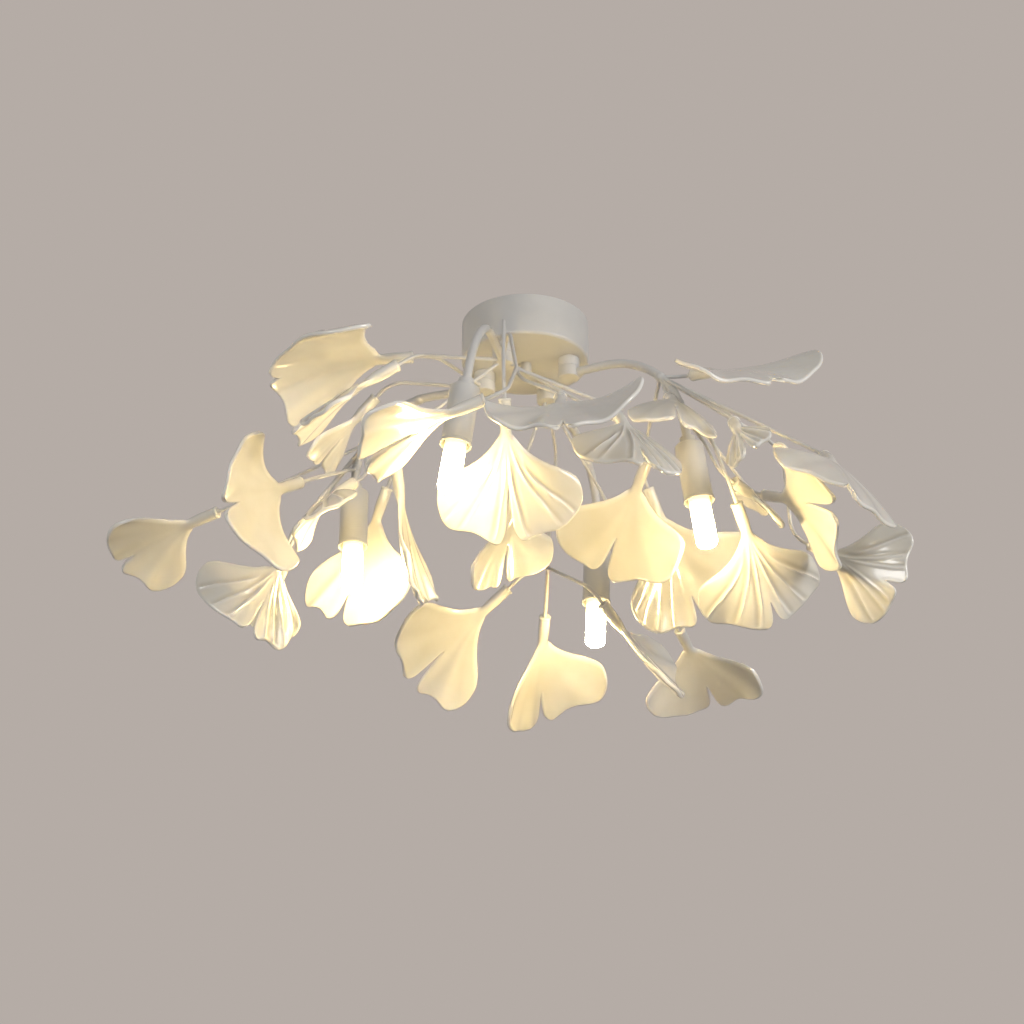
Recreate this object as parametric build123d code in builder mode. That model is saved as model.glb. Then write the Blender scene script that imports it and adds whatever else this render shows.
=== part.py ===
"""Semi-flush ceiling light: a round canopy, four branches of bent rods, four capsule lamps and a dome
of glazed ceramic ginkgo leaves.

Millimetres, +Z up. The origin is on the ceiling, in the middle of the canopy. X runs to the right and Y
away from whoever looks at the light from the front.
"""
import os
from math import cos, pi, radians, sin, sqrt, tan
from typing import NamedTuple

from build123d import *

# Canopy and its ceiling crossbar
CANOPY_D = 120.0
CANOPY_H = 42.0
CANOPY_WALL = 1.5
CANOPY_LIP = 5.0
CANOPY_EDGE_R = 3.0
CROSSBAR_L = 98.0
CROSSBAR_W = 22.0
CROSSBAR_T = 2.0
CEILING_HOLE_D = 4.5
CEILING_HOLE_SPACING = 75.0
CABLE_HOLE_D = 9.0
CABLE_HOLE_X = -17.0
BOSS_D = 13.0
BOSS_H = 9.0
KNOB_D = 12.0
KNOB_H = 10.0
KNOB_EDGE_R = 1.5
KNOB_SHANK_D = 6.0
SHANK_CLEARANCE = 0.2

# Terminal block under the crossbar and the wires to the hubs
BLOCK_L = 22.0
BLOCK_W = 16.0
BLOCK_H = 13.0
BLOCK_X = 23.0
CLAMP_PITCH = 11.0
CLAMP_ROW = 10.0
BLOCK_SCREW_D = 3.0
BLOCK_SCREW_DEPTH = 5.0
WIRE_D = 2.2
WIRE_DROP = 7.0
WIRE_BEND = 4.0
WIRE_IN_NIPPLE = 4.0

# Hubs, hung on hollow nipples under the canopy
HUB_INSET = 18.0
HUB_D = 20.0
HUB_H = 10.0
NIPPLE_D = 10.0
NIPPLE_BORE = 6.0
NIPPLE_ABOVE_FLOOR = 10.5
NIPPLE_HEAD_D = 14.0
NIPPLE_HEAD_T = 2.5
HUB_SHOULDER = 3.5
NUT_ACROSS_FLATS = 15.0
NUT_T = 4.0
TURNING_CLEARANCE = 0.3

# Stems: one root disc under each hub, one lamp tube and the leaf rods
ROOT_H = 11.0
SPIGOT_H = 3.5
FIT_CLEARANCE = 0.1
TUBE_D = 8.0
TUBE_BORE = 4.0
TUBE_BEND = 78.0
ROD_D = 3.4
ROD_BEND = 30.0
ROD_LEAD = 20.0
RUN_SHARE = 0.45

# Lamp holders and capsule lamps, measured up from the holder's mouth along its axis
HOLDER_D = 28.0
HOLDER_L = 58.0
HOLDER_WALL = 1.8
HOLDER_CAP = 3.0
NECK_D = 14.0
NECK_H = 8.0
INSERT_SETBACK = 8.0
LAMP_BASE_D = 16.4
LAMP_BASE_L = 18.0
LAMP_PIN_T = 0.8
LAMP_PIN_W = 3.0
LAMP_PIN_L = 9.5
LAMP_PIN_SPACING = 9.0
LAMP_CLEARANCE = 0.4
PIN_END_GAP = 1.5
BULB_D = 19.0
BULB_L = 52.0
BULB_END_R = 5.0

# Leaf: a tubular socket that flares into a notched fan
LEAF_WALL = 4.0
LEAF_R = 118.0
LEAF_CORNER_R = 84.0
CORNER_ROUND = 0.96
LEAF_HALF_WIDTH = 65.0
LEAF_RIPPLE = 2.5
RIPPLE_TURNS = 9.0
LEAF_WAVE = 2.5
WAVE_TURNS = 7.0
WAVE_PHASE = 1.0
FAN_CENTRE = 9.0
FAN_NECK = 0.25
BLADE_START = 0.10
BLADE_ARCH_RUN = 100.0
BLADE_STEPS_ALONG = 11
BLADE_STEPS_ACROSS = 21
BLADE_TOLERANCE = 0.05
SOCKET_D = 11.6
SOCKET_L = 20.0
SOCKET_FLARE_L = 18.0
SOCKET_FLARE_W = 12.0
SOCKET_BORE_DEPTH = 15.0
SOCKET_CLEARANCE = 0.2
ROD_END_GAP = 0.5
NOTCH_START = 74.0
NOTCH_END = 132.0
NOTCH_HALF = 11.0
NOTCH_SLIT = 0.35
NOTCH_STEPS = 8


class Branch(NamedTuple):
    """Where a branch's hub sits on the ring, its lamp's mouth and lean, and the drop of its tube's run."""

    azimuth: float
    lamp_mouth: tuple
    lamp_lean: float
    tube_drop: float = 0.0


class Leaf(NamedTuple):
    """Where a leaf's socket mouth is, where its fan points, where its ridged side faces, and its form.

    Its rod leaves the root disc, the lamp tube at the given share of that tube's length, or another rod at
    the given braze. Knees are given where the rod doesn't go straight to the leaf.
    """

    base: tuple
    aim: tuple
    face: tuple
    size: float
    spread: tuple
    curl: tuple
    arch: float
    tube_share: float = 0.0
    braze: tuple = ()
    knees: tuple = ()
    notch: float = NOTCH_START


BRANCHES = {
    "front": Branch(-120, (-61, -163, -215), 8, 20),
    "right": Branch(-14, (155, -56, -215), -8),
    "back": Branch(60, (69, 163, -215), 2),
    "left": Branch(156, (-161, 56, -206), 0),
}

LEAVES = {
    "front": [
        Leaf((-113, -150, -128), (-87, -17, -68), (-0.6, -0.3, 0.7), 0.90, (37, 37), (28, 25), 5),
        Leaf(
            (-35, -215, -198), (-105, 20, -38), (-0.38, 0.15, 0.9), 0.95, (45, 24), (15, 10), 15,
            braze=(-8.6, -132.6, -121.2),
        ),
        Leaf((-117, -60, -178), (16, 50, -110), (-0.95, 0.3, 0.05), 1.05, (37, 18), (40, 30), 10),
        Leaf(
            (-19, -154, -163), (6, 70, -115), (0.0, -0.85, -0.5), 1.02, (44, 44), (30, 30), 8,
            knees=((-20, -121, -60),),
        ),
        Leaf(
            (29, -175, -174), (0, -100, -78), (-0.1, -0.6, 0.8), 1.05, (48, 42), (-32, -25), 5,
            knees=((-15, -110, -68), (-7, -138, -134)),
            notch=112,
        ),
        Leaf(
            (76, -150, -175), (28, -55, -70), (0.3, -0.69, 0.66), 0.78, (36, 52), (30, 30), 15,
            braze=(-8.6, -132.6, -121.2),
            notch=90,
        ),
        Leaf(
            (112, -15, -152), (-42, 80, -80), (0.15, 0.7, 0.65), 0.93, (42, 58), (40, 50), 10,
            notch=88,
        ),
    ],
    "right": [
        Leaf(
            (117, 75, -134), (45, 50, -100), (0.05, 0.9, 0.4), 1.12, (34, 48), (30, 30), 10, 0.55,
            notch=102,
        ),
        Leaf(
            (190, -35, -205), (42, 77, -87), (0.05, -0.85, -0.5), 1.00, (38, 44), (50, 40), 10,
            tube_share=0.75,
            knees=((168, -55, -150),),
            notch=104,
        ),
        Leaf((223, 35, -162), (58, -88, -56), (0.86, 0.19, 0.47), 1.00, (42, 48), (10, 35), 10, 0.55),
        Leaf(
            (271, -40, -160), (14, -90, -70), (0.52, -0.47, 0.71), 0.95, (48, 48), (25, 25), 15, 0.55,
            notch=114,
        ),
        Leaf(
            (263, 38, -212), (80, -36, -63), (-0.65, -0.75, -0.15), 0.80, (46, 38), (35, 35), 10,
            tube_share=0.55,
            knees=((240, 20, -120),),
            notch=110,
        ),
        Leaf((130, -68, -115), (6, -70, -50), (0.24, -0.55, 0.8), 0.70, (42, 42), (40, 40), 20, 0.55),
        Leaf((182, -127, -172), (4, -44, -46), (-0.6, -0.7, 0.35), 0.50, (32, 32), (45, 45), 20, 0.55),
        Leaf(
            (153, -60, -87), (62, -100, -45), (-0.08, -0.45, 0.88), 1.05, (48, 48), (-20, -20), 18, 0.55,
            notch=116,
        ),
        Leaf(
            (189, -27, -180), (45, 49, -9), (0.55, -0.37, 0.74), 0.51, (48, 48), (20, 20), 10,
            tube_share=0.82,
            knees=((163, -46, -150),),
        ),
    ],
    "back": [
        Leaf((-9, 60, -146), (-17, 86, -53), (-0.6, 0.3, 0.7), 0.82, (44, 44), (30, 30), 10),
        Leaf(
            (-16, 190, -186), (-95, 31, -83), (-0.4, 0.65, 0.65), 1.08, (48, 33), (40, 40), 10,
            braze=(23.3, 163.2, -155),
            notch=84,
        ),
        Leaf(
            (20, 215, -205), (-8, 102, -63), (-0.65, 0.4, 0.65), 1.00, (40, 50), (40, 60), 10,
            knees=((31, 110, -79), (24, 150, -140)),
            notch=92,
        ),
        Leaf(
            (74, 130, -230), (66, 64, -66), (-0.8, 0.4, -0.45), 0.95, (44, 44), (25, 15), 10,
            braze=(22.5, 176.4, -170),
        ),
        Leaf(
            (154, 235, -211), (43, 107, -34), (0.0, 0.3, 0.95), 0.93, (48, 48), (40, 40), 10,
            notch=95,
        ),
    ],
    "left": [
        Leaf(
            (-103, -60, -68), (-125, -5, -15), (-0.1, 0.35, 0.95), 1.05, (70, 38), (45, 40), 15,
            notch=124,
        ),
        Leaf((-139, -9, -82), (-60, 29, -58), (-0.55, 0.31, 0.73), 0.70, (28, 18), (35, 35), 10),
        Leaf(
            (-205, -30, -182), (-66, -78, -66), (-0.76, 0.62, 0.18), 0.95, (46, 56), (50, 35), 10, 0.86,
            notch=104,
        ),
        Leaf(
            (-287, 40, -177), (-97, 44, -22), (-0.2, 0.4, 0.9), 0.88, (40, 40), (40, 8), 20, 0.72,
            notch=108,
        ),
        Leaf(
            (-222, 40, -214), (-28, -30, -107), (0.55, -0.75, 0.35), 0.82, (36, 58), (55, 35), 10, 0.72,
            notch=85,
        ),
        Leaf((-225, 78, -206), (-28, 88, -40), (0.25, 0.45, 0.85), 0.72, (44, 30), (30, 30), 10, 0.72),
        Leaf((-159, 10, -162), (-61, -52, -72), (-0.6, -0.25, 0.75), 0.70, (48, 48), (40, 40), 10, 0.72),
        Leaf(
            (-132, 90, -126), (-44, 50, -115), (0.5, 0.85, 0.25), 1.10, (26, 54), (35, 35), 5, 0.35,
            notch=100,
        ),
    ],
}

FLOOR_TOP = CANOPY_WALL - CANOPY_H
HUB_RING_R = CANOPY_D / 2 - HUB_INSET
HUB_TOP = -CANOPY_H
HUB_BOTTOM = HUB_TOP - HUB_H
ROOT_BOTTOM = HUB_BOTTOM - ROOT_H
STEM_START = HUB_BOTTOM - ROOT_H / 2
HEAD_TOP = HUB_TOP - HUB_SHOULDER
CAVITY_D = NIPPLE_HEAD_D + 2 * TURNING_CLEARANCE
NIPPLE_TOP = FLOOR_TOP + NIPPLE_ABOVE_FLOOR
HOLDER_BORE = HOLDER_D - 2 * HOLDER_WALL
INSERT_TOP = HOLDER_L - HOLDER_CAP
LAMP_BASE_TOP = INSERT_SETBACK + LAMP_BASE_L - LAMP_CLEARANCE
BULB_TOP = LAMP_BASE_TOP - LAMP_BASE_L


def hub_centre(branch, z):
    """The point at height z on a branch's hub axis."""
    turn = radians(branch.azimuth)
    return Vector(HUB_RING_R * cos(turn), HUB_RING_R * sin(turn), z)


def lamp_plane(branch):
    """The holder's mouth, with its normal up the lamp's axis."""
    lean = radians(branch.lamp_lean)
    return Plane(origin=branch.lamp_mouth, x_dir=(0, 1, 0), z_dir=(sin(lean), 0, cos(lean)))


def leaf_plane(leaf):
    """The leaf's own plane at its socket mouth: X across, Y along the fan, Z out of its ridged side."""
    along = Vector(leaf.aim).normalized()
    toward = Vector(leaf.face)
    normal = (toward - along * toward.dot(along)).normalized()
    return Plane(origin=leaf.base, x_dir=along.cross(normal), z_dir=normal)


def blade_point(leaf, along, across, lift):
    """A point of the blade, lifted off its middle surface.

    The flat fan's radius falls from LEAF_R in the middle to LEAF_CORNER_R in a round corner, and its half
    angle widens along the blade as a smooth step. It is rolled across by the leaf's curl, rippled at the
    rim, and bent down along by its arch.
    """
    spread = radians(leaf.spread[0] if across < 0 else leaf.spread[1])
    half_angle = spread * (FAN_NECK + (1 - FAN_NECK) * along**2 * (3 - 2 * along))
    rim = LEAF_CORNER_R + (LEAF_R - LEAF_CORNER_R) * sqrt(1 - CORNER_ROUND * across**4)
    rim += LEAF_RIPPLE * cos(RIPPLE_TURNS * across) * along
    side = rim * along * sin(half_angle * across)
    forward = FAN_CENTRE + rim * along * cos(half_angle * across)
    bend = radians(leaf.curl[0] if side < 0 else leaf.curl[1]) / LEAF_HALF_WIDTH
    x = sin(bend * side) / bend + lift * sin(bend * side)
    z = (cos(bend * side) - 1) / bend + lift * cos(bend * side)
    z += LEAF_WAVE * sin(WAVE_TURNS * across + WAVE_PHASE) * along**3
    straight = min(forward, SOCKET_L)
    arch_radius = BLADE_ARCH_RUN / radians(leaf.arch)
    turn = (forward - straight) / arch_radius
    y = straight + (arch_radius + z) * sin(turn)
    z = (arch_radius + z) * cos(turn) - arch_radius
    return Vector(x, y, z) * leaf.size


def blade_face(leaf, lift):
    """One side of the blade as a smooth face through its points."""
    rows = range(BLADE_STEPS_ALONG)
    columns = range(BLADE_STEPS_ACROSS)
    points = [
        [
            blade_point(
                leaf,
                BLADE_START + (1 - BLADE_START) * row / (BLADE_STEPS_ALONG - 1),
                sin(pi * (column / (BLADE_STEPS_ACROSS - 1) - 0.5)),
                lift,
            )
            for column in columns
        ]
        for row in rows
    ]
    return Face.make_surface_from_array_of_points(points, tol=BLADE_TOLERANCE)


def blade_solid(leaf):
    """The blade as a closed solid: ridged side, smooth side and the rim that joins them."""
    half_wall = LEAF_WALL / 2 / leaf.size
    ridged = blade_face(leaf, half_wall)
    smooth = blade_face(leaf, -half_wall)
    faces = [ridged, smooth]
    for edge in ridged.edges():
        partner = min(smooth.edges(), key=lambda other: (other @ 0.5 - edge @ 0.5).length)
        faces.append(Face.make_surface_from_curves(edge, partner))
    return Solid(Shell(faces))


def bend_radii(corners, largest):
    """A radius for each inner corner of a route: the largest asked for that its two runs leave room for."""
    runs = [after - before for before, after in zip(corners, corners[1:])]
    radii = []
    for arriving, leaving in zip(runs, runs[1:]):
        turn = radians(arriving.get_angle(leaving))
        room = RUN_SHARE * min(arriving.length, leaving.length) / tan(turn / 2)
        radii.append(min(largest, room))
    return radii


def rod_route(leaf, start):
    """A leaf rod's corners: from its start, over any knees, and straight into the leaf's socket."""
    along = Vector(leaf.aim).normalized()
    lead = Vector(leaf.base) - along * ROD_LEAD
    end = Vector(leaf.base) + along * (SOCKET_BORE_DEPTH - ROD_END_GAP)
    return [start, *[Vector(knee) for knee in leaf.knees], lead, end]


def notch_half(leaf, forward):
    """Half the notch's width so far along the leaf: a narrow slit that opens between rounded lobes."""
    share = (forward - leaf.notch) / (NOTCH_END - leaf.notch)
    return NOTCH_HALF * (NOTCH_SLIT * share + (1 - NOTCH_SLIT) * share**8)


os.makedirs("parts", exist_ok=True)

# Ceiling crossbar: a steel strip against the ceiling with a threaded boss for the knob
with BuildPart() as ceiling_crossbar:
    with BuildSketch(Plane.XY.offset(-CROSSBAR_T)):
        SlotOverall(CROSSBAR_L, CROSSBAR_W)
    extrude(amount=CROSSBAR_T)
    with BuildSketch(Plane.XY.offset(-CROSSBAR_T)):
        Circle(BOSS_D / 2)
    extrude(amount=-BOSS_H)
    with Locations((0, 0, 0)):
        Hole(KNOB_SHANK_D / 2 + SHANK_CLEARANCE)
    with GridLocations(CEILING_HOLE_SPACING, 0, 2, 1):
        Hole(CEILING_HOLE_D / 2)
    with Locations((CABLE_HOLE_X, 0, 0)):
        Hole(CABLE_HOLE_D / 2)
ceiling_crossbar.part.label = "ceiling_crossbar"
export_step(ceiling_crossbar.part, "parts/ceiling_crossbar.step")

# Canopy: a spun cup, closed below, with a turned-in lip that lies against the ceiling
with BuildPart() as canopy:
    with BuildSketch(Plane.XY.offset(-CANOPY_H)):
        Circle(CANOPY_D / 2)
    extrude(amount=CANOPY_H)
    fillet(canopy.faces().sort_by(Axis.Z)[0].edges(), CANOPY_EDGE_R)
    with BuildSketch(Plane.XY.offset(FLOOR_TOP)):
        Circle(CANOPY_D / 2 - CANOPY_WALL)
    extrude(amount=-FLOOR_TOP - CANOPY_WALL, mode=Mode.SUBTRACT)
    with BuildSketch(Plane.XY.offset(-CANOPY_WALL)):
        Circle(CANOPY_D / 2 - CANOPY_LIP)
    extrude(amount=CANOPY_WALL, mode=Mode.SUBTRACT)
    with Locations((0, 0, FLOOR_TOP)):
        Hole(KNOB_SHANK_D / 2 + SHANK_CLEARANCE)
    with Locations(*[hub_centre(branch, FLOOR_TOP) for branch in BRANCHES.values()]):
        Hole(NIPPLE_D / 2 + FIT_CLEARANCE)
canopy.part.label = "canopy"
export_step(canopy.part, "parts/canopy.step")

# Knob: holds the canopy up; its shank screws into the crossbar's boss
with BuildPart() as canopy_knob:
    with BuildSketch(Plane.XY.offset(-CANOPY_H)):
        Circle(KNOB_D / 2)
    extrude(amount=-KNOB_H)
    fillet(canopy_knob.faces().sort_by(Axis.Z)[0].edges(), KNOB_EDGE_R)
    with BuildSketch(Plane.XY.offset(-CANOPY_H)):
        Circle(KNOB_SHANK_D / 2)
    extrude(amount=CANOPY_H - CROSSBAR_T)
canopy_knob.part.label = "canopy_knob"
export_step(canopy_knob.part, "parts/canopy_knob.step")

# Hub nipples: hollow threaded tubes through the canopy floor, each with a head that carries its hub
with BuildPart() as hub_nipples:
    with Locations(*[hub_centre(branch, HEAD_TOP) for branch in BRANCHES.values()]):
        Cylinder(NIPPLE_D / 2, NIPPLE_TOP - HEAD_TOP, align=(Align.CENTER, Align.CENTER, Align.MIN))
        Cylinder(NIPPLE_HEAD_D / 2, NIPPLE_HEAD_T, align=(Align.CENTER, Align.CENTER, Align.MAX))
        Hole(NIPPLE_BORE / 2)
hub_nipples.part.label = "hub_nipples"
export_step(hub_nipples.part, "parts/hub_nipples.step")

# Hub nuts: one on each nipple, tightened on the canopy floor
with BuildPart() as hub_nuts:
    with BuildSketch(Plane.XY.offset(FLOOR_TOP)):
        with Locations(*[hub_centre(branch, 0) for branch in BRANCHES.values()]):
            RegularPolygon(NUT_ACROSS_FLATS / 2, 6, major_radius=False)
            Circle(NIPPLE_D / 2 + FIT_CLEARANCE, mode=Mode.SUBTRACT)
    extrude(amount=NUT_T)
hub_nuts.part.label = "hub_nuts"
export_step(hub_nuts.part, "parts/hub_nuts.step")

# Terminal block: screwed under the crossbar, with two clamp screw wells
with BuildPart() as terminal_block:
    with Locations((BLOCK_X, 0, -CROSSBAR_T)):
        Box(BLOCK_L, BLOCK_W, BLOCK_H, align=(Align.CENTER, Align.CENTER, Align.MAX))
    with BuildSketch(Plane.XY.offset(-CROSSBAR_T - BLOCK_H)):
        with Locations((BLOCK_X, 0)):
            with GridLocations(CLAMP_PITCH, 0, 2, 1):
                Circle(BLOCK_SCREW_D / 2)
    extrude(amount=BLOCK_SCREW_DEPTH, mode=Mode.SUBTRACT)
terminal_block.part.label = "terminal_block"
export_step(terminal_block.part, "parts/terminal_block.step")

# Feed wires: from the block's underside down to the top of each nipple and a little way into it
WIRE_STARTS = {
    "front": (BLOCK_X - CLAMP_PITCH / 2, -CLAMP_ROW / 2),
    "right": (BLOCK_X + CLAMP_PITCH / 2, -CLAMP_ROW / 2),
    "back": (BLOCK_X + CLAMP_PITCH / 2, CLAMP_ROW / 2),
    "left": (BLOCK_X - CLAMP_PITCH / 2, CLAMP_ROW / 2),
}
with BuildPart() as feed_wires:
    for name, branch in BRANCHES.items():
        start = Vector(*WIRE_STARTS[name], -CROSSBAR_T - BLOCK_H)
        below = start - Vector(0, 0, WIRE_DROP)
        end = hub_centre(branch, NIPPLE_TOP - WIRE_IN_NIPPLE)
        above = Vector(end.X, end.Y, below.Z)
        with BuildLine():
            FilletPolyline(start, below, above, end, radius=WIRE_BEND)
        with BuildSketch(Plane(origin=start, z_dir=(0, 0, -1))):
            Circle(WIRE_D / 2)
        sweep()
feed_wires.part.label = "feed_wires"
export_step(feed_wires.part, "parts/feed_wires.step")

for name, branch in BRANCHES.items():
    # Hub: a turned sleeve on the nipple, its inner shoulder resting on the nipple's head
    with BuildPart() as hub:
        with BuildSketch(Plane(hub_centre(branch, HUB_BOTTOM))):
            Circle(HUB_D / 2)
            Circle(CAVITY_D / 2, mode=Mode.SUBTRACT)
        extrude(amount=HUB_H - HUB_SHOULDER)
        with BuildSketch(Plane(hub_centre(branch, HEAD_TOP))):
            Circle(HUB_D / 2)
            Circle(NIPPLE_D / 2 + TURNING_CLEARANCE, mode=Mode.SUBTRACT)
        extrude(amount=HUB_SHOULDER)
    hub.part.label = f"hub_{name}"
    export_step(hub.part, f"parts/hub_{name}.step")

    # Stems: the root disc that closes the hub, with the leaf rods and the hollow lamp tube brazed into it
    mouth = lamp_plane(branch)
    up = mouth.z_dir
    root = hub_centre(branch, STEM_START)
    tube_end = mouth.origin + up * (INSERT_TOP + HOLDER_CAP / 2)
    tube_corner = tube_end + up * ((STEM_START - branch.tube_drop - tube_end.Z) / up.Z)
    with BuildPart() as stems:
        with BuildSketch(Plane(hub_centre(branch, ROOT_BOTTOM))):
            Circle(HUB_D / 2)
        extrude(amount=ROOT_H)
        with BuildSketch(Plane(hub_centre(branch, HUB_BOTTOM))):
            Circle(CAVITY_D / 2 - FIT_CLEARANCE)
        extrude(amount=SPIGOT_H)
        with BuildLine() as tube_path:
            FilletPolyline(root, tube_corner, tube_end, radius=TUBE_BEND)
        with BuildSketch(Plane(origin=root, z_dir=tube_path.line % 0)):
            Circle(TUBE_D / 2)
        sweep()
        for leaf in LEAVES[name]:
            start = Vector(leaf.braze) if leaf.braze else tube_path.line @ leaf.tube_share
            route = rod_route(leaf, start)
            with BuildLine() as rod_path:
                FilletPolyline(*route, radius=bend_radii(route, ROD_BEND))
            with BuildSketch(Plane(origin=start, z_dir=rod_path.line % 0)):
                Circle(ROD_D / 2)
            sweep()
        with BuildSketch(Plane(root)):
            Circle(TUBE_BORE / 2)
        extrude(amount=ROOT_H / 2 + SPIGOT_H, mode=Mode.SUBTRACT)
        with BuildSketch(Plane(origin=root, z_dir=tube_path.line % 0)):
            Circle(TUBE_BORE / 2)
        sweep(path=tube_path.line, mode=Mode.SUBTRACT)
    stems.part.label = f"stems_{name}"
    export_step(stems.part, f"parts/stems_{name}.step")

    # Lamp holder: a sleeve with a closed top and a neck for the tube
    with BuildPart() as holder:
        with BuildSketch(mouth):
            Circle(HOLDER_D / 2)
        extrude(amount=HOLDER_L)
        with BuildSketch(mouth.offset(HOLDER_L)):
            Circle(NECK_D / 2)
        extrude(amount=NECK_H)
        with BuildSketch(mouth):
            Circle(HOLDER_BORE / 2)
        extrude(amount=INSERT_TOP, mode=Mode.SUBTRACT)
        with BuildSketch(mouth.offset(INSERT_TOP)):
            Circle(TUBE_D / 2 + FIT_CLEARANCE)
        extrude(amount=HOLDER_CAP + NECK_H, mode=Mode.SUBTRACT)
    holder.part.label = f"lamp_holder_{name}"
    export_step(holder.part, f"parts/lamp_holder_{name}.step")

    # Lampholder insert: a ceramic core with a seat for the lamp's base and two pin slots
    with BuildPart() as insert:
        with BuildSketch(mouth.offset(INSERT_SETBACK)):
            Circle(HOLDER_BORE / 2 - FIT_CLEARANCE)
        extrude(amount=INSERT_TOP - INSERT_SETBACK)
        with BuildSketch(mouth.offset(INSERT_SETBACK)):
            Circle(LAMP_BASE_D / 2 + LAMP_CLEARANCE)
        extrude(amount=LAMP_BASE_TOP - INSERT_SETBACK, mode=Mode.SUBTRACT)
        with BuildSketch(mouth.offset(LAMP_BASE_TOP)):
            with GridLocations(LAMP_PIN_SPACING, 0, 2, 1):
                Rectangle(LAMP_PIN_T + 2 * LAMP_CLEARANCE, LAMP_PIN_W + 2 * LAMP_CLEARANCE)
        extrude(amount=LAMP_PIN_L + PIN_END_GAP, mode=Mode.SUBTRACT)
    insert.part.label = f"lamp_insert_{name}"
    export_step(insert.part, f"parts/lamp_insert_{name}.step")

    # Lamp base: a ceramic foot with two flat pins
    with BuildPart() as lamp_base:
        with BuildSketch(mouth.offset(BULB_TOP)):
            Circle(LAMP_BASE_D / 2)
        extrude(amount=LAMP_BASE_L)
        with BuildSketch(mouth.offset(LAMP_BASE_TOP)):
            with GridLocations(LAMP_PIN_SPACING, 0, 2, 1):
                Rectangle(LAMP_PIN_T, LAMP_PIN_W)
        extrude(amount=LAMP_PIN_L)
    lamp_base.part.label = f"lamp_base_{name}"
    export_step(lamp_base.part, f"parts/lamp_base_{name}.step")

    # Bulb: a frosted capsule with a rounded end
    with BuildPart() as bulb:
        with BuildSketch(mouth.offset(BULB_TOP)):
            Circle(BULB_D / 2)
        extrude(amount=-BULB_L)
        fillet(bulb.faces().sort_by(Axis.Z)[0].edges(), BULB_END_R)
    bulb.part.label = f"bulb_{name}"
    export_step(bulb.part, f"parts/bulb_{name}.step")

    # Leaves: the blade, the socket that flares into it, the notch between its lobes and the rod's bore
    for number, leaf in enumerate(LEAVES[name], start=1):
        blade = blade_solid(leaf)
        shares = [1 - (1 - step / NOTCH_STEPS) ** 2 for step in range(NOTCH_STEPS + 1)]
        stations = [leaf.notch + (NOTCH_END - leaf.notch) * share for share in shares]
        lip = [(notch_half(leaf, station) * leaf.size, station * leaf.size) for station in stations]
        with BuildPart() as ginkgo:
            add(blade)
            with BuildSketch(Plane.XZ):
                Circle(SOCKET_D / 2)
            extrude(amount=-SOCKET_L)
            with BuildSketch(Plane.XZ.offset(-SOCKET_L)):
                Circle(SOCKET_D / 2)
            with BuildSketch(Plane.XZ.offset(-SOCKET_L - SOCKET_FLARE_L)):
                Ellipse(SOCKET_FLARE_W / 2, LEAF_WALL / 2)
            loft()
            with BuildSketch(Plane.XY):
                with BuildLine():
                    right_lip = Spline(*lip)
                    left_lip = Spline(*[(-x, y) for x, y in lip])
                    Line(right_lip @ 1, left_lip @ 1)
                make_face()
            extrude(amount=LEAF_R, both=True, mode=Mode.SUBTRACT)
            with BuildSketch(Plane.XZ):
                Circle(ROD_D / 2 + SOCKET_CLEARANCE)
            extrude(amount=-SOCKET_BORE_DEPTH, mode=Mode.SUBTRACT)
        placed = leaf_plane(leaf).from_local_coords(ginkgo.part)
        placed.label = f"leaf_{name}_{number}"
        export_step(placed, f"parts/leaf_{name}_{number}.step")
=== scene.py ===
"""Looks of the semi-flush ceiling light: painted canopy and rods, lit capsule lamps and glazed ginkgo leaves.

Metres, +Z up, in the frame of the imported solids: the origin is on the ceiling, +X to the right and +Y away
from the viewer. Sizes of the pieces are written in millimetres and multiplied by MM where they are used.
"""
from math import atan, cos, pi, radians, sin, tan
from typing import NamedTuple

import bmesh
import bpy
import numpy as np
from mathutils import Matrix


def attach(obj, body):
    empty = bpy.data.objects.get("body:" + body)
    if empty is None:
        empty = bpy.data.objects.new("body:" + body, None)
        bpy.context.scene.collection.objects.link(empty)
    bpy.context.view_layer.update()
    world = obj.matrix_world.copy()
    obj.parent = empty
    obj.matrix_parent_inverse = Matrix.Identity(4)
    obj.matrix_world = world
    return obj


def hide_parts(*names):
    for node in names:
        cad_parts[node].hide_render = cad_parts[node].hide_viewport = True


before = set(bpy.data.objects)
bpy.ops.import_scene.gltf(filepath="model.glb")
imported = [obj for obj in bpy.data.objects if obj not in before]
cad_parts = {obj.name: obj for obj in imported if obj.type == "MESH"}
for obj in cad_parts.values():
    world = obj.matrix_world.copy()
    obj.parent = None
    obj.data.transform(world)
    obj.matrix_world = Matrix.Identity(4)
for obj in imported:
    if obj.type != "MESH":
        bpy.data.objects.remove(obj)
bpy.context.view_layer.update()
MM = 0.001

# Crossbar, nipples and nuts: zinc-plated steel, hidden in the canopy. The strip is screwed to the ceiling and
# carries everything else; the nipples pass through the canopy floor and the nuts clamp them there.
ZINC_LIGHT = (0.62, 0.63, 0.64, 1)
ZINC_DARK = (0.47, 0.48, 0.50, 1)
ZINC_CELLS = 220.0
ZINC_ROUGHNESS = (0.28, 0.45)
ZINC_GRAIN = (1500.0, 0.00002)
TONE_ENDS = (0.35, 0.65)
TONE_DETAIL = 4.0
GRAIN_DETAIL = 3.0


def new_material(name):
    """A material with its Principled shader, as (material, nodes, links, shader)."""
    material = bpy.data.materials.new(name)
    material.use_nodes = True
    nodes = material.node_tree.nodes
    return material, nodes, material.node_tree.links, nodes["Principled BSDF"]


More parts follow.
